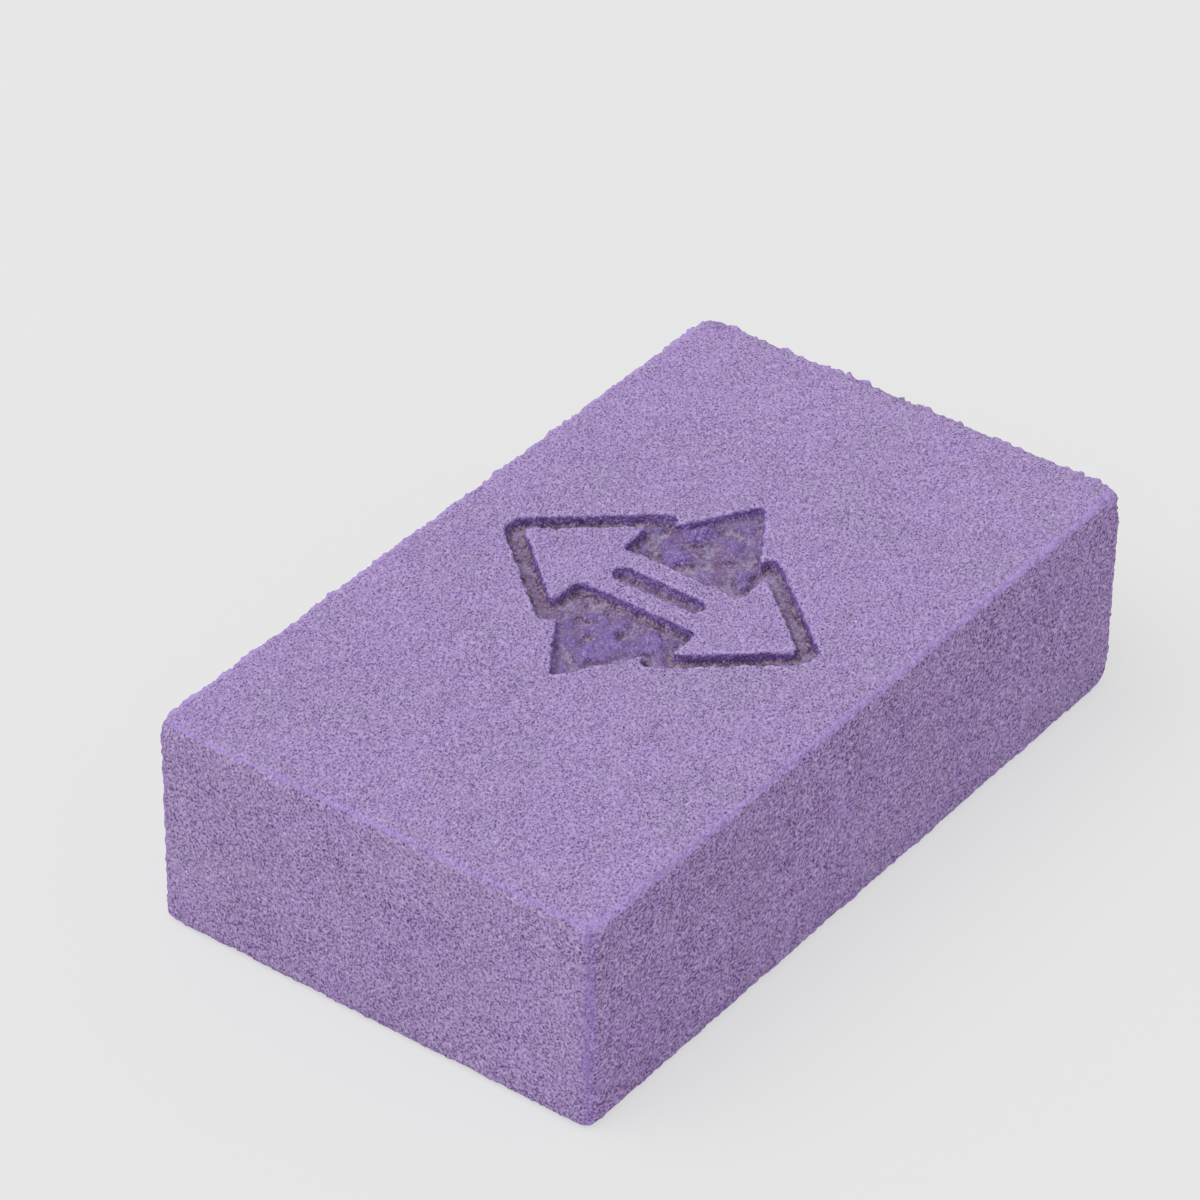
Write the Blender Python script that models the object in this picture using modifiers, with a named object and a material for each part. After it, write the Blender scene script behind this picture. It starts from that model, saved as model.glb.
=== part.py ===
"""A suede eraser: one block of firm, fine-pored cleaning foam, cut from a slab, with a sign burnt into its top.

The block lies on its bottom face. X runs along its length, Y across its width and Z up, and the origin is
the middle of the bottom face. The sign is a double-headed arrow that runs across the block: its tops are level
with the block's top face, and a trench round it, with a lozenge-shaped field behind it, is sunk below.
"""

import math

import bmesh
import bpy
from mathutils import Vector

# The block
BLOCK_LENGTH = 0.0750
BLOCK_WIDTH = 0.0437
BLOCK_THICKNESS = 0.0203
UPRIGHT_EDGE_RADIUS = 0.0012
FACE_EDGE_RADIUS = 0.0007
EDGE_STEPS = 5

# The sign's middle, a little off the block's own
SIGN_X = 0.0012
SIGN_Y = 0.0003

# The arrow, from tip to tip along Y
ARROW_LENGTH = 0.0280
HEAD_LENGTH = 0.0080
HEAD_WIDTH = 0.0135
SHAFT_WIDTH = 0.0060
ARROW_CORNER_RADIUS = 0.0007

# The slot down the middle of the arrow's shaft
SLOT_LENGTH = 0.0090
SLOT_WIDTH = 0.0018

# What is sunk round the arrow: a trench, and a shallower lozenge behind it
TRENCH_WIDTH = 0.0016
TRENCH_DEPTH = 0.0010
FIELD_DEPTH = 0.0008
FIELD_LENGTH = 0.0300
FIELD_WIDTH = 0.0190
FIELD_CORNER_RADIUS = 0.0006

# A cutter stands this far out of the top face, or a little more, so that no two cutters end in one plane
CUTTER_RISE = 0.0020
ARC_STEPS = 6

# Points of a cutter nearer than this are one point
SAME_POINT = 0.000001

FOAM_COLOUR = (0.362, 0.266, 0.503, 1.0)
FOAM_ROUGHNESS = 0.9


def clear_scene():
    """Removes whatever the file holds."""
    for old in list(bpy.data.objects):
        bpy.data.objects.remove(old, do_unlink=True)


def new_collection(name):
    collection = bpy.data.collections.new(name)
    bpy.context.scene.collection.children.link(collection)
    return collection


def foam_material():
    """Firm violet foam, matt all over."""
    material = bpy.data.materials.new("violet_foam")
    material.use_nodes = True
    shader = material.node_tree.nodes["Principled BSDF"]
    shader.inputs["Base Color"].default_value = FOAM_COLOUR
    shader.inputs["Roughness"].default_value = FOAM_ROUGHNESS
    shader.inputs["Metallic"].default_value = 0.0
    return material


def arrow_corners():
    """The double-headed arrow's corners, anticlockwise from its tip at +Y."""
    tip = ARROW_LENGTH / 2
    neck = tip - HEAD_LENGTH
    head = HEAD_WIDTH / 2
    shaft = SHAFT_WIDTH / 2
    upper = [(0, tip), (-head, neck), (-shaft, neck)]
    lower = [(-shaft, -neck), (-head, -neck), (0, -tip)]
    right = [(head, -neck), (shaft, -neck), (shaft, neck), (head, neck)]
    return [Vector(point) for point in upper + lower + right]


def field_corners():
    """The lozenge's corners, anticlockwise from the one at +Y. It is longest along X, across the arrow."""
    half_x = FIELD_LENGTH / 2
    half_y = FIELD_WIDTH / 2
    return [Vector(point) for point in ((0, half_y), (-half_x, 0), (0, -half_y), (half_x, 0))]


def grown(corners, margin):
    """An anticlockwise outline moved outwards by the margin, with its corners kept sharp."""
    moved = []
    for i, corner in enumerate(corners):
        before = (corner - corners[i - 1]).normalized()
        after = (corners[(i + 1) % len(corners)] - corner).normalized()
        out_before = Vector((before.y, -before.x))
        out_after = Vector((after.y, -after.x))
        miter = (out_before + out_after).normalized()
        moved.append(corner + miter * (margin / miter.dot(out_before)))
    return moved


def rounded(corners, radius):
    """The outline with each corner turned into an arc of the radius, or less where a side is too short for it."""
    points = []
    for i, corner in enumerate(corners):
        to_last = corners[i - 1] - corner
        to_next = corners[(i + 1) % len(corners)] - corner
        half_angle = to_last.angle(to_next) / 2
        reach = min(radius / math.tan(half_angle), 0.45 * to_last.length, 0.45 * to_next.length)
        arc_radius = reach * math.tan(half_angle)
        start = corner + to_last.normalized() * reach
        end = corner + to_next.normalized() * reach
        middle = (to_last.normalized() + to_next.normalized()).normalized()
        centre = corner + middle * (arc_radius / math.sin(half_angle))
        for step in range(ARC_STEPS + 1):
            along = start.lerp(end, step / ARC_STEPS) - centre
            points.append(centre + along.normalized() * arc_radius)
    return points


def slot_outline():
    """A round-ended slot along Y, anticlockwise."""
    radius = SLOT_WIDTH / 2
    reach = SLOT_LENGTH / 2 - radius
    points = []
    for end, first in ((1, 0), (-1, math.pi)):
        for step in range(2 * ARC_STEPS + 1):
            angle = first + math.pi * step / (2 * ARC_STEPS)
            points.append(Vector((radius * math.cos(angle), end * reach + radius * math.sin(angle))))
    return points


def prism(name, outline, below, above, collection):
    """A closed cutter over a flat outline round the sign's middle, from one height to another."""
    curve = bpy.data.curves.new(name, "CURVE")
    curve.dimensions = "2D"
    curve.fill_mode = "BOTH"
    curve.extrude = (above - below) / 2
    spline = curve.splines.new("POLY")
    spline.points.add(len(outline) - 1)
    spline.use_cyclic_u = True
    for point, place in zip(spline.points, outline):
        point.co = (place.x, place.y, 0, 1)
    flat = bpy.data.objects.new(name + "_outline", curve)
    flat.location = (SIGN_X, SIGN_Y, (above + below) / 2)
    collection.objects.link(flat)
    bpy.context.view_layer.update()
    graph = bpy.context.evaluated_depsgraph_get()
    mesh = bpy.data.meshes.new_from_object(flat.evaluated_get(graph))
    shape = bmesh.new()
    shape.from_mesh(mesh)
    bmesh.ops.remove_doubles(shape, verts=shape.verts, dist=SAME_POINT)
    for way in (1, -1):
        end = [face for face in shape.faces if all(vertex.co.z * way > 0 for vertex in face.verts)]
        bmesh.ops.dissolve_faces(shape, faces=end)
    bmesh.ops.recalc_face_normals(shape, faces=shape.faces)
    shape.to_mesh(mesh)
    shape.free()
    solid = bpy.data.objects.new(name, mesh)
    solid.matrix_world = flat.matrix_world
    bpy.data.objects.remove(flat, do_unlink=True)
    collection.objects.link(solid)
    solid.hide_render = True
    solid.display_type = "WIRE"
    return solid


def add_boolean(target, tool, operation):
    modifier = target.modifiers.new(tool.name, "BOOLEAN")
    modifier.operation = operation
    modifier.object = tool


def engraving(collection):
    """The cutter for the sign: the arrow's trench and the lozenge joined, with the arrow left standing in them.

    Each solid that is taken away from another reaches past both of its ends.
    """
    above = BLOCK_THICKNESS + CUTTER_RISE
    trench_outline = rounded(grown(arrow_corners(), TRENCH_WIDTH), ARROW_CORNER_RADIUS + TRENCH_WIDTH)
    trench = prism("arrow_trench", trench_outline, BLOCK_THICKNESS - TRENCH_DEPTH, above, collection)
    above += CUTTER_RISE
    field_outline = rounded(field_corners(), FIELD_CORNER_RADIUS)
    field = prism("lozenge_field", field_outline, BLOCK_THICKNESS - FIELD_DEPTH, above, collection)
    above += CUTTER_RISE
    below = BLOCK_THICKNESS - max(TRENCH_DEPTH, FIELD_DEPTH) - CUTTER_RISE
    arrow_outline = rounded(arrow_corners(), ARROW_CORNER_RADIUS)
    arrow = prism("arrow_left_standing", arrow_outline, below, above, collection)
    slot = prism("slot_in_the_arrow", slot_outline(), below - CUTTER_RISE, above + CUTTER_RISE, collection)
    add_boolean(arrow, slot, "DIFFERENCE")
    add_boolean(trench, field, "UNION")
    add_boolean(trench, arrow, "DIFFERENCE")
    return trench


def eraser_block(collection, cutters):
    """The block: a cube at its real size, its upright edges rounded, then the edges of its two large faces."""
    bpy.ops.mesh.primitive_cube_add(size=1, location=(0, 0, BLOCK_THICKNESS / 2))
    block = bpy.context.object
    block.name = "eraser_block"
    block.data.name = "eraser_block"
    block.scale = (BLOCK_LENGTH, BLOCK_WIDTH, BLOCK_THICKNESS)
    bpy.ops.object.transform_apply(location=False, rotation=False, scale=True)
    for old in list(block.users_collection):
        old.objects.unlink(block)
    collection.objects.link(block)
    shape = bmesh.new()
    shape.from_mesh(block.data)
    uprights = [edge for edge in shape.edges if abs((edge.verts[0].co - edge.verts[1].co).z) > BLOCK_THICKNESS / 2]
    bmesh.ops.bevel(
        shape, geom=uprights, offset=UPRIGHT_EDGE_RADIUS, offset_type="OFFSET", segments=EDGE_STEPS, profile=0.5,
        affect="EDGES",
    )
    shape.to_mesh(block.data)
    shape.free()
    edges = block.modifiers.new("edges_of_the_large_faces", "BEVEL")
    edges.width = FACE_EDGE_RADIUS
    edges.segments = EDGE_STEPS
    edges.limit_method = "ANGLE"
    edges.angle_limit = math.radians(60)
    add_boolean(block, engraving(cutters), "DIFFERENCE")
    block.data.materials.append(foam_material())
    return block


def main():
    clear_scene()
    eraser = new_collection("suede_eraser")
    cutters = new_collection("cutters")
    cutters.hide_render = True
    eraser_block(eraser, cutters)


main()
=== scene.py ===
import math

import bpy
import numpy as np
from mathutils import Matrix, Vector
from mathutils.kdtree import KDTree


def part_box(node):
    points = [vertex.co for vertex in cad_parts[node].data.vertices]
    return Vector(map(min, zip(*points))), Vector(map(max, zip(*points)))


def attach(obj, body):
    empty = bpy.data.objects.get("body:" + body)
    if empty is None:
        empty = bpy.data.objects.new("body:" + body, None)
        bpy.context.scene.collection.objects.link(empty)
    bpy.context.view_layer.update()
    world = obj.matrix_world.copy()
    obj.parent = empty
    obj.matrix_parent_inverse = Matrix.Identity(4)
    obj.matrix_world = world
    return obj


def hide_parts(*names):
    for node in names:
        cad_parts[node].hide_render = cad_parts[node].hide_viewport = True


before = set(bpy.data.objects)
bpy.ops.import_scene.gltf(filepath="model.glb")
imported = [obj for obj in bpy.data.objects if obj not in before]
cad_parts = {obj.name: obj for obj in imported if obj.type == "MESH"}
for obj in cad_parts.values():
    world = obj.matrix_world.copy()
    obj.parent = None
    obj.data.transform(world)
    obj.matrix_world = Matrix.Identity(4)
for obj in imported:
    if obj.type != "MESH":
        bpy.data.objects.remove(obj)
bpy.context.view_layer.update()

# The block
# One piece of firm, fine-celled cleaning foam, 75 mm long, sawn from a slab. Its edges are rubbed round in a
# tumbler. It starts as a cube of the frame's own size, and its edges are bevelled.

MM = 0.001
SAME_PLACE = 0.001 * MM
BLOCK_LOW, BLOCK_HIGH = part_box("eraser_block")
BLOCK_SIZE = BLOCK_HIGH - BLOCK_LOW
BLOCK_MIDDLE = (BLOCK_HIGH + BLOCK_LOW) / 2
TOP = BLOCK_HIGH.z
UPRIGHT_RADIUS = 1.2 * MM
RIM_RADIUS = 0.7 * MM
ROUND_STEPS = 6


def select_only(piece):
    bpy.ops.object.select_all(action="DESELECT")
    piece.select_set(True)
    bpy.context.view_layer.objects.active = piece


def select_edges(piece, wanted):
    """In edit mode, selects the edges for which wanted(start, end) is true."""
    bpy.ops.mesh.select_all(action="DESELECT")
    bpy.ops.object.mode_set(mode="OBJECT")
    for edge in piece.data.edges:
        start, end = (piece.data.vertices[i].co for i in edge.vertices)
        edge.select = wanted(start, end)
    bpy.ops.object.mode_set(mode="EDIT")


def apply_modifier(piece, kind, **settings):
    """Adds a modifier, sets it and applies it."""
    modifier = piece.modifiers.new(kind.lower(), kind)
    for name, value in settings.items():
        setattr(modifier, name, value)
    select_only(piece)
    bpy.ops.object.modifier_apply(modifier=modifier.name)


def on_a_large_face(start, end):
    """Whether an edge lies flat in the top or the bottom face."""
    return start.z == end.z and min(start.z - BLOCK_LOW.z, TOP - start.z) < SAME_PLACE


bpy.ops.object.select_all(action="DESELECT")
bpy.ops.mesh.primitive_cube_add(size=1, location=BLOCK_MIDDLE)
block = bpy.context.object
block.name = block.data.name = "pored_foam_block"
block.scale = BLOCK_SIZE
bpy.ops.object.transform_apply(location=True, rotation=True, scale=True)
bpy.ops.object.mode_set(mode="EDIT")
bpy.ops.mesh.select_mode(type="EDGE")
select_edges(block, lambda start, end: abs(start.z - end.z) > BLOCK_SIZE.z / 2)
bpy.ops.mesh.bevel(offset=UPRIGHT_RADIUS, segments=ROUND_STEPS, affect="EDGES")
select_edges(block, on_a_large_face)
bpy.ops.mesh.bevel(offset=RIM_RADIUS, segments=ROUND_STEPS, affect="EDGES")
bpy.ops.mesh.select_all(action="SELECT")
bpy.ops.mesh.normals_make_consistent(inside=False)
bpy.ops.object.mode_set(mode="OBJECT")

# The sign
# A double-headed arrow, rub to and fro, burnt into the top face with a hot brass stamp. The arrow itself is
# left level with the face, and a trench round it and a lozenge behind it are melted down a millimetre.

SIGN_MIDDLE = Vector((1.2 * MM, 0.3 * MM, TOP))
ARROW_LENGTH = 28.0 * MM
HEAD_LENGTH = 8.0 * MM
HEAD_WIDTH = 13.5 * MM
SHAFT_WIDTH = 6.0 * MM
ARROW_CORNER = 0.7 * MM
SLOT_LENGTH = 9.0 * MM
SLOT_WIDTH = 1.8 * MM
SLOT_END_RADIUS = 0.49 * SLOT_WIDTH
TRENCH_WIDTH = 1.6 * MM
BURNT_DEPTH = 1.0 * MM
LOZENGE_DEPTH = 0.8 * MM
LOZENGE_LENGTH = 30.0 * MM
LOZENGE_WIDTH = 19.0 * MM
LOZENGE_CORNER = 0.6 * MM
STAMP_RISE = 2.0 * MM


def flat_plate(name, width, length, corners=0):
    """A flat face round the sign's middle, left in edit mode: a rectangle, or a lozenge of four corners."""
    bpy.ops.object.select_all(action="DESELECT")
    if corners:
        bpy.ops.mesh.primitive_circle_add(
            vertices=corners, radius=0.5, fill_type="NGON", location=SIGN_MIDDLE
        )
    else:
        bpy.ops.mesh.primitive_plane_add(size=1, location=SIGN_MIDDLE)
    plate = bpy.context.object
    plate.name = name
    plate.scale = (width, length, 1)
    bpy.ops.object.transform_apply(location=True, rotation=True, scale=True)
    bpy.ops.object.mode_set(mode="EDIT")
    return plate


def arrow_plate(name):
    """The shaft's rectangle, each end widened and drawn to a point, as one flat face left in edit mode."""
    plate = flat_plate(name, SHAFT_WIDTH, ARROW_LENGTH - 2 * HEAD_LENGTH)
    for way in (1, -1):
        bpy.ops.mesh.select_mode(type="EDGE")
        neck = SIGN_MIDDLE.y + way * (ARROW_LENGTH / 2 - HEAD_LENGTH)
        select_edges(plate, lambda start, end: max(abs(start.y - neck), abs(end.y - neck)) < SAME_PLACE)
        bpy.ops.mesh.extrude_edges_move()
        bpy.ops.transform.resize(
            value=(HEAD_WIDTH / SHAFT_WIDTH, 1, 1), center_override=(SIGN_MIDDLE.x, neck, TOP)
        )
        bpy.ops.mesh.extrude_edges_move(TRANSFORM_OT_translate={"value": (0, way * HEAD_LENGTH, 0)})
        bpy.ops.mesh.merge(type="CENTER")
    bpy.ops.mesh.select_mode(type="FACE")
    bpy.ops.mesh.select_all(action="SELECT")
    bpy.ops.mesh.dissolve_faces()
    return plate


def finish_stamp(plate, corner, steps, depth, rise, grow=0):
    """Draws a plate's outline up into a wall, moves it out, closes its ends and rounds its upright edges."""
    bpy.ops.mesh.select_all(action="SELECT")
    bpy.ops.mesh.delete(type="ONLY_FACE")
    bpy.ops.mesh.select_mode(type="EDGE")
    bpy.ops.mesh.select_all(action="SELECT")
    bpy.ops.transform.translate(value=(0, 0, -depth))
    bpy.ops.mesh.extrude_edges_move(TRANSFORM_OT_translate={"value": (0, 0, depth + rise)})
    bpy.ops.mesh.select_all(action="SELECT")
    bpy.ops.mesh.normals_make_consistent(inside=False)
    bpy.ops.transform.shrink_fatten(value=grow, use_even_offset=True)
    bpy.ops.mesh.fill_holes(sides=0)
    select_edges(plate, lambda start, end: abs(start.z - end.z) > depth)
    bpy.ops.mesh.bevel(offset=corner, segments=steps, affect="EDGES")
    bpy.ops.mesh.select_all(action="SELECT")
    bpy.ops.mesh.normals_make_consistent(inside=False)
    bpy.ops.object.mode_set(mode="OBJECT")
    return plate


# All four stand well above the block. The arrow passes right through the stamp that it is cut from, and the
# slot passes right through the arrow.
arrow = finish_stamp(
    arrow_plate("arrow"), corner=ARROW_CORNER, steps=5, depth=2 * BURNT_DEPTH, rise=2 * STAMP_RISE
)
slot = finish_stamp(
    flat_plate("slot", SLOT_WIDTH, SLOT_LENGTH),
    corner=SLOT_END_RADIUS, steps=6, depth=3 * BURNT_DEPTH, rise=3 * STAMP_RISE,
)
lozenge = finish_stamp(
    flat_plate("lozenge", LOZENGE_LENGTH, LOZENGE_WIDTH, corners=4),
    corner=LOZENGE_CORNER, steps=4, depth=LOZENGE_DEPTH, rise=2 * STAMP_RISE,
)
stamp = finish_stamp(
    arrow_plate("stamp"),
    corner=ARROW_CORNER + TRENCH_WIDTH, steps=6, depth=BURNT_DEPTH, rise=STAMP_RISE, grow=TRENCH_WIDTH,
)
apply_modifier(arrow, "BOOLEAN", object=slot, operation="DIFFERENCE")
apply_modifier(stamp, "BOOLEAN", object=lozenge, operation="UNION")
apply_modifier(stamp, "BOOLEAN", object=arrow, operation="DIFFERENCE")
apply_modifier(block, "BOOLEAN", object=stamp, operation="DIFFERENCE")
for tool in (arrow, slot, lozenge, stamp):
    bpy.data.objects.remove(tool, do_unlink=True)

# The foam's surface
# Cut cells stand up as crumbs, most along the edges, where they are rubbed off, and the burnt floor has risen
# again in lumps. The block is remeshed finely and pushed in and out by noise, and its flat faces then give up
# most of their points.

CELL_MESH = 0.18 * MM
MOST_TRIANGLES = 196000
WEIGHT_LEVELS = 16

# The sign lies within this reach of its middle and above the deepest place, and any other place counts as
# this far off it. Its walls are the points between the two wall depths.
SIGN_REACH = 17.0 * MM
DEEPEST = 2 * BURNT_DEPTH
OFF_SIGN = 9 * MM
WALL_DEPTHS = (0.25 * BURNT_DEPTH, 0.55 * BURNT_DEPTH)

# Each band runs from where a finish is whole to where it has gone, in from the edge, corner or wall
CRUMB_BAND = (0.3 * MM, 0.9 * MM)
WORN_BAND = (0.5 * MM, 3.0 * MM)
CORNER_BAND = (0.4 * MM, 2.8 * MM)
NEAR_CORNER_BAND = (1.2 * MM, 4.2 * MM)
WALL_BAND = (0.2 * MM, 0.7 * MM)
WALL_FOOT_BAND = (0.2 * MM, 0.9 * MM)
FINE_EDGE_BAND = (0.9 * MM, 1.4 * MM)
FINE_WALL_BAND = (0.5 * MM, 1.0 * MM)

# Each of these runs from where a finish hasn't begun to where it is whole
LUMP_BAND = (0.5 * MM, 1.3 * MM)
CLOD_BAND = (1.2 * MM, 2.4 * MM)
ABOVE_GROUND_BAND = (0.2 * MM, 1.6 * MM)
SUNK_BAND = (0.02 * MM, 0.12 * MM)
FLOOR_BAND = (0.65 * BURNT_DEPTH, 0.75 * BURNT_DEPTH)

# How much of the crumbs an edge carries, and how round each corner is worn. A corner is looked up by whether
# it is at the far end, on the far side and at the top.
TOP_CRUMBS = 0.9
BOTTOM_CRUMBS = 0.42
UPRIGHT_CRUMBS = 0.5
RIGHT_UPRIGHT_CRUMBS = 1.0
CORNER_WEAR = np.array((((0.15, 1.0), (0.4, 0.4)), ((1.0, 0.2), (0.15, 0.15))))
FAR_SIDE_CLODS = 0.35
UPRIGHT_CLODS = 0.25

# Small tears beside the near upright edge, on the long side: how far in from the end and how far down each is
TEARS = ((0.9 * MM, 1.0 * MM), (0.6 * MM, 3.3 * MM), (1.3 * MM, 4.9 * MM), (0.7 * MM, 5.3 * MM))
TEAR_LENGTH = 0.9 * MM
TEAR_WIDTH = 0.24 * MM
TEAR_CORE = 0.2 * TEAR_WIDTH
TEAR_SLOPE = 0.3
TEAR_FADE = 0.2

# The rims carry a painted highlight, a paler and bluer violet. It starts and ends where the surface has
# turned this far from one face towards the other
RIM_FROM_TOP_AT_END = 0.2
RIM_FROM_TOP_AT_SIDE = 0.14
RIM_FROM_SIDE = 0.40
RIM_FROM_LONG_SIDE = 0.05
RIM_TOP_BAND = (0.0, 0.3)
RIM_SIDE_BAND = (0.0, 0.35)
UPRIGHT_BAND = (0.2, 0.5)
NEAR_UPRIGHT_RIM = 0.74
OTHER_UPRIGHT_RIM = 0.62


def vertex_values(piece, name="co"):
    """The places of a piece's points, or their normals."""
    values = np.empty(len(piece.data.vertices) * 3, np.float32)
    piece.data.vertices.foreach_get(name, values)
    return values.reshape(-1, 3)


def add_group(piece, name, weights):
    """A vertex group from an array of weights, in a few even levels."""
    group = piece.vertex_groups.new(name=name)
    step = np.rint(np.clip(weights, 0, 1) * WEIGHT_LEVELS).astype(int)
    for level in range(1, WEIGHT_LEVELS + 1):
        group.add([int(i) for i in np.flatnonzero(step == level)], level / WEIGHT_LEVELS, "REPLACE")


def group_weights(piece, name):
    """The weight of every point in a vertex group."""
    group = piece.vertex_groups[name].index
    weights = np.zeros(len(piece.data.vertices))
    for i, point in enumerate(piece.data.vertices):
        for at in point.groups:
            if at.group == group:
                weights[i] = at.weight
    return weights


def ramp(values, low, high):
    """Rises smoothly from 0 at low to 1 at high."""
    share = np.clip((values - low) / (high - low), 0, 1)
    return share * share * (3 - 2 * share)


def face_distances(places):
    """How far each place is from the nearer of the two faces across each axis."""
    return np.array(BLOCK_SIZE) / 2 - np.abs(places - np.array(BLOCK_MIDDLE))


def wall_distance(places):
    """How far each place is, seen from above, from the nearest of the sign's walls."""
    below_top = TOP - places[:, 2]
    in_sign = np.hypot(places[:, 0] - SIGN_MIDDLE.x, places[:, 1] - SIGN_MIDDLE.y) < SIGN_REACH
    half_down = (below_top > WALL_DEPTHS[0]) & (below_top < WALL_DEPTHS[1])
    walls = np.flatnonzero(in_sign & half_down)
    tree = KDTree(len(walls))
    for i in walls:
        tree.insert((places[i, 0], places[i, 1], 0), int(i))
    tree.balance()
    distance = np.full(len(places), OFF_SIGN)
    for i in np.flatnonzero(in_sign & (below_top < DEEPEST)):
        distance[i] = tree.find((places[i, 0], places[i, 1], 0))[2]
    return distance


def cloud(name, size, depth=1, contrast=1.0, brightness=1.0):
    """A noise texture whose lumps are about the given size."""
    texture = bpy.data.textures.new(name, "CLOUDS")
    texture.noise_scale = size
    texture.noise_depth = depth
    texture.contrast = contrast
    texture.intensity = brightness
    return texture


def push(piece, texture, strength, group="", middle=0.5):
    """Pushes the surface out along its normals where the texture is above its middle, and in where below."""
    apply_modifier(
        piece, "DISPLACE", texture=texture, texture_coords="LOCAL", strength=strength, mid_level=middle,
        vertex_group=group,
    )


apply_modifier(block, "REMESH", mode="VOXEL", voxel_size=CELL_MESH, adaptivity=0)
places = vertex_values(block)
inwards = face_distances(places)
from_edge = np.sort(inwards, axis=1)[:, 1]
from_corner = np.linalg.norm(inwards, axis=1)
from_wall = wall_distance(places)
to_low = places - np.array(BLOCK_LOW)
to_high = np.array(BLOCK_HIGH) - places
below_top = TOP - places[:, 2]
at_far_end, at_far_side, at_top = (places > np.array(BLOCK_MIDDLE)).T
by_upright = inwards[:, 2] > np.maximum(inwards[:, 0], inwards[:, 1])

# Crumbs along the edges, and the corners worn round
upright_crumbs = np.where(at_far_end & ~at_far_side, RIGHT_UPRIGHT_CRUMBS, UPRIGHT_CRUMBS)
crumbs = np.where(by_upright, upright_crumbs, np.where(at_top, TOP_CRUMBS, BOTTOM_CRUMBS))
add_group(block, "edges", (1 - ramp(from_edge, *CRUMB_BAND)) * crumbs)
corner_wear = CORNER_WEAR[at_far_end.astype(int), at_far_side.astype(int), at_top.astype(int)]
add_group(block, "corners", (1 - ramp(from_corner, *CORNER_BAND)) * corner_wear)
near_corner = ~at_far_end & ~at_far_side & at_top
add_group(block, "near_corner", near_corner * (1 - ramp(from_corner, *NEAR_CORNER_BAND)))

# The sign's sunk part, its walls, and the burnt floor away from them
floor_share = ramp(below_top, *FLOOR_BAND) * (from_wall < OFF_SIGN)
add_group(block, "stamped", (from_wall < OFF_SIGN) * ramp(below_top, *SUNK_BAND))
add_group(block, "walls", 1 - ramp(from_wall, *WALL_BAND))
add_group(block, "lumps", floor_share * ramp(from_wall, *LUMP_BAND))

# The far side's and the far end's edges, more worn than the others, with clods left on them
by_far_side = to_high[:, 1] < WORN_BAND[1]
by_far_end = (to_high[:, 0] < WORN_BAND[1]) & (to_high[:, 2] < WORN_BAND[1])
above_ground = ramp(to_low[:, 2], *ABOVE_GROUND_BAND)
worn = (by_far_side | by_far_end) * above_ground
add_group(block, "worn", worn * (1 - ramp(from_edge, *WORN_BAND)))
clods = np.maximum(by_far_end, np.maximum(FAR_SIDE_CLODS * by_far_side, UPRIGHT_CLODS * by_upright))
clods = clods * above_ground * ramp(from_corner, *CLOD_BAND)
add_group(block, "crumbly", clods * (1 - ramp(from_edge, *CRUMB_BAND)))

fine_walls = 1 - ramp(from_wall, *FINE_WALL_BAND)
add_group(block, "kept_fine", np.maximum(1 - ramp(from_edge, *FINE_EDGE_BAND), fine_walls + floor_share))

tears = np.zeros(len(places))
for from_end, down in TEARS:
    past_end = np.maximum(np.abs(to_low[:, 0] - from_end) - TEAR_LENGTH / 2, 0)
    across = below_top - down - TEAR_SLOPE * (to_low[:, 0] - from_end)
    off_tear = np.hypot(past_end, across) + TEAR_FADE * to_low[:, 1]
    tears = np.maximum(tears, 1 - ramp(off_tear, TEAR_CORE, TEAR_WIDTH))
add_group(block, "tears", tears)

apply_modifier(block, "SMOOTH", factor=0.5, iterations=225, vertex_group="worn")
apply_modifier(block, "SMOOTH", factor=0.5, iterations=160, vertex_group="corners")
apply_modifier(block, "SMOOTH", factor=0.5, iterations=150, vertex_group="near_corner")

# The rims' painted highlight, once the wear has given them their final turn from face to face
facing = vertex_values(block, "normal")
turn = np.abs(facing)
at_end = turn[:, 0] > turn[:, 1]
off_top = np.maximum(turn[:, 0], turn[:, 1]) - np.where(at_end, RIM_FROM_TOP_AT_END, RIM_FROM_TOP_AT_SIDE)
off_side = turn[:, 2] - np.where(at_end | (facing[:, 1] > 0), RIM_FROM_SIDE, RIM_FROM_LONG_SIDE)
rim_share = np.minimum(ramp(off_top, *RIM_TOP_BAND), ramp(off_side, *RIM_SIDE_BAND))
upright_share = ramp(np.minimum(turn[:, 0], turn[:, 1]), *UPRIGHT_BAND)
upright_share = upright_share * np.where(at_far_end | at_far_side, OTHER_UPRIGHT_RIM, NEAR_UPRIGHT_RIM)
add_group(block, "rims", np.maximum(rim_share, upright_share) * (from_wall == OFF_SIGN))

push(block, cloud("slab", size=9 * MM), strength=0.14 * MM)
push(block, cloud("grain", size=0.55 * MM, depth=2), strength=0.14 * MM)
push(block, cloud("sway", size=2.6 * MM), strength=0.35 * MM, group="edges")
push(block, cloud("crumbs", size=0.5 * MM, depth=2), strength=0.65 * MM, group="edges", middle=0.56)
clod_cloud = cloud("clods", size=0.9 * MM, contrast=4.0, brightness=0.2)
push(block, clod_cloud, strength=0.24 * MM, group="crumbly", middle=0.0)
push(block, None, strength=-0.12 * MM, group="tears", middle=0.0)
push(block, cloud("lumps", size=2.1 * MM), strength=2.3 * MM, group="lumps", middle=0.47)
push(block, cloud("clots", size=0.7 * MM, depth=2), strength=0.45 * MM, group="lumps")
push(block, cloud("melt", size=1.1 * MM), strength=0.3 * MM, group="walls")
push(block, cloud("bitten", size=0.45 * MM, depth=2), strength=0.3 * MM, group="walls")
apply_modifier(
    block, "DECIMATE", ratio=MOST_TRIANGLES / (2 * len(block.data.polygons)), vertex_group="kept_fine",
    invert_vertex_group=True, vertex_group_factor=0.02,
)
bpy.ops.object.shade_smooth()

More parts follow.
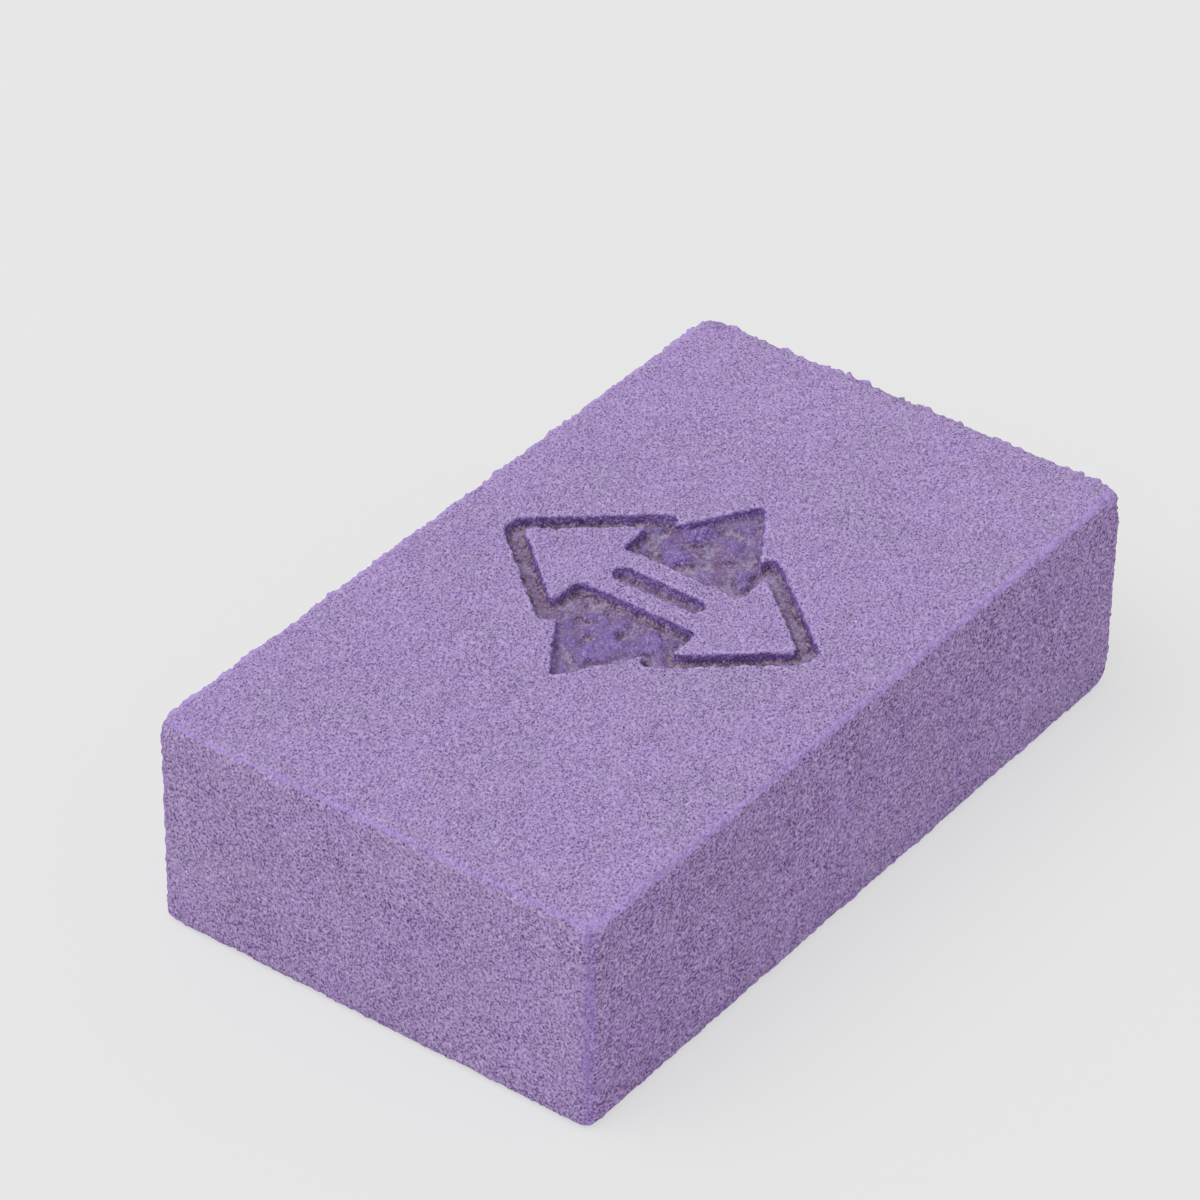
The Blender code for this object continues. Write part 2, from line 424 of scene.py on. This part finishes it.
from_wall = wall_distance(vertex_values(block))
finishes = {
    "foot": 1 - ramp(from_wall, *WALL_FOOT_BAND),
    "burnt": group_weights(block, "stamped"),
    "rim_highlight": group_weights(block, "rims"),
    "torn": group_weights(block, "tears"),
}
for name, values in finishes.items():
    kept = block.data.attributes.new(name, "FLOAT", "POINT")
    kept.data.foreach_set("value", values.astype(np.float32))

# The foam's colours
# Violet right through, with painted shade in its open cells, a paler, bluer painted highlight along the
# edges, and a dark, slightly glazed scorch inside the sign. The saw drew the cells out a little on the top
# and long sides.

# Which way and how far the cells are drawn out on the top, how far on the long side, and how fine they are on
# the top. The last two are what any side adds to that fineness, and what the long side adds to it besides.
GRAIN_WAY = (-0.81, -0.59, 0.0)
GRAIN_STRETCH = 0.30
LONG_STRETCH = 0.18
TOP_FINENESS = 1.28
SIDE_FINENESS = -0.25
LONG_FINENESS = 0.1

# How fine each pattern is, in cells or lumps per metre, and how far the cells are bent aside
SWAY_SCALE = 1800.0
CELL_SCALE = 3700.0
EACH_CELL_SCALE = 4500.0
GRIT_SCALE = 6000.0
CRUMB_SCALE = 3300.0
PIT_SCALE = 1700.0
DUST_SCALE = 180.0
CLOUD_SCALE = 420.0
SCORCH_SCALE = 900.0
PATCH_SCALE = 110.0
GREYNESS_SCALE = 90.0
SWAY = 0.25 * MM

# Where one colour of the rims' painted highlight gives way to another's, and how ragged its edges are
BESIDE_LONG = 1.0 * MM
UPRIGHT_BLEND = 0.3 * MM
STEEP_FROM = (0.85, 0.5)
GREY_FROM = (0.4, 0.6)
RIM_RAGGEDNESS = 0.8
RIM_GRIT = 0.4
RIM_EDGE = (0.15, 0.85)


class Shade:
    """One output of a shader node. Arithmetic on it adds Math nodes, and node() adds any other node."""

    def __init__(self, tree, socket):
        self.tree = tree
        self.socket = socket

    def node(self, kind, settings=(), inputs=(), output=0):
        """A node of a kind, its settings set first, then its inputs linked or set, wrapped by one output."""
        made = self.tree.nodes.new(kind)
        for name, value in dict(settings).items():
            setattr(made, name, value)
        for name, value in dict(inputs).items():
            if isinstance(value, Shade):
                self.tree.links.new(value.socket, made.inputs[name])
            else:
                made.inputs[name].default_value = value
        return Shade(self.tree, made.outputs[output])

    def maths(self, operation, other, turned=False):
        pair = {0: other, 1: self} if turned else {0: self, 1: other}
        return self.node("ShaderNodeMath", {"operation": operation}, pair)

    def __add__(self, other):
        return self.maths("ADD", other)

    def __sub__(self, other):
        return self.maths("SUBTRACT", other)

    def __rsub__(self, other):
        return self.maths("SUBTRACT", other, turned=True)

    def __mul__(self, other):
        return self.maths("MULTIPLY", other)

    def __truediv__(self, other):
        return self.maths("DIVIDE", other)

    __radd__ = __add__
    __rmul__ = __mul__

    def step(self, low, high):
        """A smooth step from 0 at low to 1 at high."""
        return self.node(
            "ShaderNodeMapRange",
            {"interpolation_type": "SMOOTHSTEP"},
            {"Value": self, "From Min": low, "From Max": high},
        )


foam = bpy.data.materials.new("violet_cell_foam")
foam.use_nodes = True
shader = foam.node_tree.nodes["Principled BSDF"]

# A start for the nodes that follow from no other
blank = Shade(foam.node_tree, None)


def vector_maths(operation, *values, output=0):
    return blank.node("ShaderNodeVectorMath", {"operation": operation}, dict(enumerate(values)), output)


def scaled(vector, share):
    return blank.node("ShaderNodeVectorMath", {"operation": "SCALE"}, {0: vector, "Scale": share})


def one_axis(vector, axis):
    return blank.node("ShaderNodeSeparateXYZ", {}, {0: vector}, axis)


def stored(name):
    """A finish that is kept on the block's points."""
    return blank.node("ShaderNodeAttribute", {"attribute_name": name}, output="Fac")


def noise(place, scale, detail=1.0, output="Fac", roughness=0.5):
    values = {"Vector": place, "Scale": scale, "Detail": detail, "Roughness": roughness}
    return blank.node("ShaderNodeTexNoise", {}, values, output)


def cell_distance(place, scale):
    """How far each place is from the middle of its cell, as a share of a cell."""
    return blank.node("ShaderNodeTexVoronoi", {"feature": "F1"}, {"Vector": place, "Scale": scale})


def cell_chance(place, scale):
    """A value from 0 to 1 that each cell draws for itself."""
    drawn = blank.node("ShaderNodeTexVoronoi", {"feature": "F1"}, {"Vector": place, "Scale": scale}, "Color")
    return blank.node("ShaderNodeSeparateColor", {}, {0: drawn})


def centred(value):
    """A noise of 0 to 1, moved to swing about 0."""
    return value - 0.5


def colour_mix(share, first, second):
    return blank.node("ShaderNodeMix", {"data_type": "RGBA"}, {0: share, 6: first, 7: second}, 2)


def srgb(*levels):
    """A colour from its screen levels out of 255."""
    shares = [level / 255 for level in levels]
    linear = [share / 12.92 if share < 0.04 else ((share + 0.055) / 1.055) ** 2.4 for share in shares]
    return (*linear, 1.0)


# Which face a place is on, and where on it
here = blank.node("ShaderNodeTexCoord", output="Object")
span = vector_maths("ABSOLUTE", vector_maths("SUBTRACT", here, BLOCK_MIDDLE))
inward = vector_maths("SUBTRACT", BLOCK_SIZE / 2, span)
inward_x, inward_y, inward_z = (one_axis(inward, axis) for axis in range(3))
on_side = inward_z.maths("GREATER_THAN", inward_x.maths("MINIMUM", inward_y))
on_long = on_side * inward_x.maths("GREATER_THAN", inward_y)
on_end = on_side - on_long
along_block = one_axis(here, 0)
to_far_end = along_block.step(0.0, BLOCK_HIGH.x)
beside_long = (inward_x - inward_y).step(0.0, BESIDE_LONG)
on_upright = (inward_z - inward_x.maths("MAXIMUM", inward_y)).step(0.0, UPRIGHT_BLEND)
depth = (TOP - one_axis(here, 2)) / BURNT_DEPTH
steep = one_axis(blank.node("ShaderNodeNewGeometry", output="Normal"), 2).step(*STEEP_FROM)

# The cells, drawn out and finer or coarser by face
along_grain = vector_maths("DOT_PRODUCT", here, GRAIN_WAY, output=1)
grained = vector_maths("SUBTRACT", here, scaled(GRAIN_WAY, along_grain * (GRAIN_STRETCH * (1 - on_side))))
long_draw = blank.node("ShaderNodeCombineXYZ", {}, {0: LONG_STRETCH * on_long * along_block})
grained = vector_maths("SUBTRACT", grained, long_draw)
grained = scaled(grained, TOP_FINENESS + SIDE_FINENESS * on_side + LONG_FINENESS * on_long)
sway = noise(here, SWAY_SCALE, output="Color")
bent = vector_maths("MULTIPLY_ADD", sway, (SWAY, SWAY, SWAY), grained)
cells = cell_distance(bent, CELL_SCALE)
each_cell = cell_chance(bent, EACH_CELL_SCALE)
grit = noise(grained, GRIT_SCALE, detail=0.0)
clouds = noise(here, CLOUD_SCALE, detail=2.0)
patches = noise(here, PATCH_SCALE, detail=2.0)
greyness = noise(here, GREYNESS_SCALE, detail=4.0, roughness=1.0).step(*GREY_FROM)
# The painted highlight on the rims, ragged at its edges
rim = stored("rim_highlight") + RIM_RAGGEDNESS * centred(clouds) + RIM_GRIT * centred(grit)
rim = rim.step(*RIM_EDGE)
sunk = stored("burnt")

# How light or dark each place is: above 0 it is a pale crumb, below 0 an open cell, darkened with painted
# shade
CELL_TONE = 1.12
CELL_LEVEL = 0.55
GRIT_TONE = 1.6
EACH_CELL_TONE = 0.5
CLOUD_TONE = 0.25
TOP_CONTRAST = 0.84
SIDE_CONTRAST = 0.1
LONG_CONTRAST = 0.26
PATCH_TONE = 0.3
PATCH_OFF_END = 0.25
LONG_FOOT_BOUNCE_LIGHT = 0.11
END_FOOT_SHADE = -0.05
FAR_END_LIGHT = 0.03
RIM_CALM = 0.4
FAR_RIM_CALM = 0.15
FLOOR_CALM = 0.45

# The painted light and shade at the feet lie this far down, in burnt depths, and the long side's light starts
# this far along the block
LONG_FOOT = (7.0, 18.0)
END_FOOT = (10.0, 18.0)
BOUNCE_LIGHT_FROM = (-34 * MM, -10 * MM)

cell_tone = CELL_TONE * (cells - CELL_LEVEL) + GRIT_TONE * centred(grit)
cell_tone = cell_tone + EACH_CELL_TONE * centred(each_cell) + CLOUD_TONE * centred(clouds)
patch_tone = PATCH_TONE * centred(patches) * (PATCH_OFF_END + (1 - PATCH_OFF_END) * on_end)
# The cells' tone is stronger on the sides and strongest on the long side, as painted shade of the cells where
# the light grazes them
tone = cell_tone * (TOP_CONTRAST + SIDE_CONTRAST * on_side + LONG_CONTRAST * on_long) + patch_tone
# Painted light: the long side paler towards its foot, away from the near end, as if lit back from the floor
tone = tone + LONG_FOOT_BOUNCE_LIGHT * on_long * depth.step(*LONG_FOOT) * along_block.step(*BOUNCE_LIGHT_FROM)
# Painted shade: the end face darker towards its foot
tone = tone + END_FOOT_SHADE * on_end * depth.step(*END_FOOT)
# Painted light: the top and bottom faces paler towards the far end
tone = tone + FAR_END_LIGHT * (1 - on_side) * to_far_end
tone = tone * (1 - (RIM_CALM + FAR_RIM_CALM * to_far_end) * rim)
tone = tone * (1 - FLOOR_CALM * sunk * (1 - steep))

# The plain foam: violet, greyer in patches, with a paler, bluer highlight painted on its rims
FACE_VIOLET = srgb(175, 149, 206)
END_LIGHT_VIOLET = srgb(173, 146, 195)
LONG_SHADE_VIOLET = srgb(176, 136, 205)
GREYED = srgb(160, 152, 172)
RIM_HIGHLIGHT_VIOLET = srgb(178, 152, 218)
PALE_RIM_HIGHLIGHT = srgb(189, 162, 229)
UPRIGHT_HIGHLIGHT_VIOLET = srgb(165, 136, 208)
SIDE_SHARE = 0.5
GREYED_SHARE = 0.27
RIM_SHARE = 0.85

# Half of each side's colour is its own copy of the violet: the end a little warmer as painted light, the long
# side more saturated as painted shade
colour = colour_mix(SIDE_SHARE * on_side, FACE_VIOLET, colour_mix(on_long, END_LIGHT_VIOLET, LONG_SHADE_VIOLET))
colour = colour_mix(GREYED_SHARE * greyness, colour, GREYED)
rim_colour = colour_mix(to_far_end.maths("MAXIMUM", beside_long), RIM_HIGHLIGHT_VIOLET, PALE_RIM_HIGHLIGHT)
# The rims' painted highlight: paler at the far end and beside the long side, darker on the upright edges
colour = colour_mix(RIM_SHARE * rim, colour, colour_mix(on_upright, rim_colour, UPRIGHT_HIGHLIGHT_VIOLET))

# The sign: a pale highlight painted along its lip, sooty walls, and a floor scorched at the foot of its walls
# and violet on its lumps, darker low on them, partly as painted shade
LIP_HIGHLIGHT_VIOLET = srgb(190, 170, 226)
WALL_VIOLET = srgb(134, 106, 180)
LUMP_VIOLET = srgb(138, 115, 181)
CREASE_SHADE_VIOLET = srgb(126, 102, 162)
SCORCH = srgb(138, 112, 154)
PALE_SCORCH = srgb(164, 150, 184)
BURNT_BROWN = srgb(70, 46, 70)
BURNT_OCHRE = srgb(160, 134, 146)
LIP_SHARE = 0.8
LEAST_CHAR = 0.12
MORE_CHAR = 0.68
CREASE_SHARE = 0.6
SOOT_SHARE = 0.75
CHAR_RAGGEDNESS = 1.2
CREASE_RAGGEDNESS = 0.5
SOOT_RAGGEDNESS = 0.4
SOOT_GRIT = 0.7

# Where each begins and is whole, by how near the foot of a wall it is or by what its noise or cell draws
LIP_FEET = (0.6, 1.0)
LIP_CELLS = (0.1, 0.7)
CHAR_FEET = (0.25, 0.95)
SCORCH_EDGE = (0.42, 0.58)
CRUMB_EDGE = (0.25, 0.85)
SOOTY_CRUMB_EDGE = (0.6, 1.2)

# Where each begins and is whole, in burnt depths
LIP_DEPTHS = (0.30, 0.12)
CREASE_DEPTHS = (1.0, 0.75)
LUMP_DEPTHS = (0.85, 0.35)
SOOT_DEPTHS = (0.55, 0.95)

foot = stored("foot")
scorch = noise(here, SCORCH_SCALE, detail=2.0)
crumb = cell_chance(bent, CRUMB_SCALE).step(*CRUMB_EDGE)
# A paler violet painted along the top of the sign's walls, as a highlight like the rims'
lip_highlight = foot.step(*LIP_FEET) * depth.step(*LIP_DEPTHS) * each_cell.step(*LIP_CELLS)
colour = colour_mix(LIP_SHARE * lip_highlight, colour, LIP_HIGHLIGHT_VIOLET)
charred = (foot + CHAR_RAGGEDNESS * centred(clouds)).step(*CHAR_FEET)
# Low on the lumps a darker violet, partly their own colour and partly painted shade in the creases at their
# feet
crease_shade = (depth + CREASE_RAGGEDNESS * centred(clouds)).step(*CREASE_DEPTHS)
soot = (depth + SOOT_GRIT * centred(grit) + SOOT_RAGGEDNESS * centred(scorch)).step(*SOOT_DEPTHS)
burnt = colour_mix(scorch.step(*SCORCH_EDGE), SCORCH, PALE_SCORCH)
burnt = colour_mix(LEAST_CHAR + MORE_CHAR * charred, burnt, colour_mix(crumb, BURNT_BROWN, BURNT_OCHRE))
burnt = colour_mix(CREASE_SHARE * crease_shade, burnt, CREASE_SHADE_VIOLET)
burnt = colour_mix(depth.step(*LUMP_DEPTHS), burnt, LUMP_VIOLET)
sooty = colour_mix(crumb.step(*SOOTY_CRUMB_EDGE), BURNT_BROWN, BURNT_OCHRE)
wall = colour_mix(SOOT_SHARE * soot, WALL_VIOLET, sooty)
colour = colour_mix(sunk, colour, colour_mix(steep, burnt, wall))

# The tears, the pits and the cells with their painted shade, and the dust, over all of it
TORN_RED = srgb(138, 92, 128)
CELL_SHADE_DARK = srgb(86, 63, 114)
PALE_CRUMB_AND_LIGHT = srgb(216, 197, 239)
DUST = srgb(232, 222, 238)
TORN_SHARE = 0.8
TORN_GRIT = 1.5
TORN_EDGE = (0.3, 0.9)
PIT_SHARE = 0.6
PIT_EDGE = (0.34, 0.16)
PIT_CHANCE = (0.93, 0.97)
DUST_EDGE = (0.025, 0.015)
DARKENING = 1.3

torn = (stored("torn") + TORN_GRIT * centred(grit)).step(*TORN_EDGE)
# The rare deeper pits, with painted shade in them
pit_shade = cell_distance(bent, PIT_SCALE).step(*PIT_EDGE) * cell_chance(bent, PIT_SCALE).step(*PIT_CHANCE)
dust = cell_distance(bent, DUST_SCALE).step(*DUST_EDGE)
colour = colour_mix(TORN_SHARE * torn, colour, TORN_RED)
colour = colour_mix(PIT_SHARE * pit_shade, colour, CELL_SHADE_DARK)
# Below 0 the tone darkens: painted shade in the open cells, and the painted shade at the end face's foot
colour = colour_mix((-DARKENING * tone).maths("MAXIMUM", 0.0), colour, CELL_SHADE_DARK)
# Above 0 the tone pales: crumbs, and the painted light on the long side's foot and the top's far end
colour = colour_mix(tone.maths("MAXIMUM", 0.0), colour, PALE_CRUMB_AND_LIGHT)
colour = colour_mix(dust * (1 - sunk), colour, DUST)
foam.node_tree.links.new(colour.socket, shader.inputs["Base Color"])

# The cells stand out a little, and the burnt floor has a faint glaze
CELL_RELIEF = 0.08 * MM
RELIEF_STRENGTH = 0.7
GRIT_RELIEF = 0.6
FOAM_ROUGHNESS = 0.92
GLAZE = 0.22
FOAM_SHEEN = 0.25

bump_inputs = {"Height": cells + GRIT_RELIEF * grit, "Distance": CELL_RELIEF, "Strength": RELIEF_STRENGTH}
bump = blank.node("ShaderNodeBump", {}, bump_inputs)
foam.node_tree.links.new(bump.socket, shader.inputs["Normal"])
foam.node_tree.links.new((FOAM_ROUGHNESS - GLAZE * sunk).socket, shader.inputs["Roughness"])
shader.inputs["Specular IOR Level"].default_value = FOAM_SHEEN
block.data.materials.clear()
block.data.materials.append(foam)

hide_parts("eraser_block")
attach(block, "root")

# The floor
# A wide, plain pale sheet, on which the block lies and its own soft shadow falls. Where it is looked at, part
# of its paleness is a glow of its own, which keeps it even. Elsewhere it is matt and nearly white.

FLOOR_SIZE = 12.0
FLOOR_SEEN = srgb(135, 135, 135)
FLOOR_BOUNCED = srgb(240, 240, 240)
FLOOR_GLOW = (0.575, 0.575, 0.575, 1)
NO_GLOW = (0, 0, 0, 1)

bpy.ops.object.select_all(action="DESELECT")
bpy.ops.mesh.primitive_plane_add(size=FLOOR_SIZE, location=(0, 0, min(vertex_values(block)[:, 2])))
floor = bpy.context.object
floor.name = "floor"
floor_paint = bpy.data.materials.new("pale_floor")
floor_paint.use_nodes = True
sheet = floor_paint.node_tree.nodes["Principled BSDF"]
sheet.inputs["Roughness"].default_value = 1.0
sheet.inputs["Specular IOR Level"].default_value = 0.0
sheet.inputs["Emission Strength"].default_value = 1.0
blank_floor = Shade(floor_paint.node_tree, None)
looking, mirrored, let_through = (
    blank_floor.node("ShaderNodeLightPath", output=ray)
    for ray in ("Is Camera Ray", "Is Glossy Ray", "Is Transmission Ray")
)
seen = (looking + mirrored + let_through).maths("MINIMUM", 1.0)
for name, bounced, looked_at in (
    ("Base Color", FLOOR_BOUNCED, FLOOR_SEEN),
    ("Emission Color", NO_GLOW, FLOOR_GLOW),
):
    paint = blank_floor.node("ShaderNodeMix", {"data_type": "RGBA"}, {0: seen, 6: bounced, 7: looked_at}, 2)
    floor_paint.node_tree.links.new(paint.socket, sheet.inputs[name])
floor.data.materials.append(floor_paint)

# The light
# An even, pale room, and one large soft box above, a little towards the block's near end.

ROOM_WHITE = (1, 1, 1, 1)
ROOM_LEVEL = 0.55
BOX_DISTANCE = 2.4
BOX_SIZE = 2.4
BOX_FROM = Vector((-0.40, 0.25, 0.95)).normalized()
BOX_LEVEL = 0.46

room = bpy.data.worlds.new("studio")
bpy.context.scene.world = room
room.use_nodes = True
room.node_tree.nodes["Background"].inputs["Color"].default_value = ROOM_WHITE
room.node_tree.nodes["Background"].inputs["Strength"].default_value = ROOM_LEVEL

soft_box = bpy.data.lights.new("soft_box", "AREA")
soft_box.shape = "DISK"
soft_box.size = BOX_SIZE
soft_box.energy = BOX_LEVEL * math.pi**2 * BOX_DISTANCE**2 / BOX_FROM.z
lamp = bpy.data.objects.new("soft_box", soft_box)
lamp.location = BOX_FROM * BOX_DISTANCE
lamp.rotation_euler = BOX_FROM.to_track_quat("Z", "Y").to_euler()
bpy.context.scene.collection.objects.link(lamp)

# The camera
# A long lens, from above the near corner, as the photograph was taken. The block lies off its middle.

CAMERA_TURN = math.radians(-53.79)
CAMERA_RISE = math.radians(36.09)
CAMERA_ROLL = math.radians(1.05)
CAMERA_DISTANCE = 503.6 * MM
CAMERA_AIM = Vector((19.46 * MM, 19.67 * MM, 0))
LENS = 172.3

camera = bpy.data.objects.new("camera", bpy.data.cameras.new("camera"))
turned = Matrix.Rotation(CAMERA_TURN, 4, "Z") @ Matrix.Rotation(math.pi / 2 - CAMERA_RISE, 4, "X")
turned = turned @ Matrix.Rotation(CAMERA_ROLL, 4, "Z")
camera.matrix_world = Matrix.Translation(CAMERA_AIM) @ turned @ Matrix.Translation((0, 0, CAMERA_DISTANCE))
camera.data.lens = LENS
bpy.context.scene.collection.objects.link(camera)
bpy.context.scene.camera = camera
bpy.context.scene.view_settings.view_transform = "Standard"
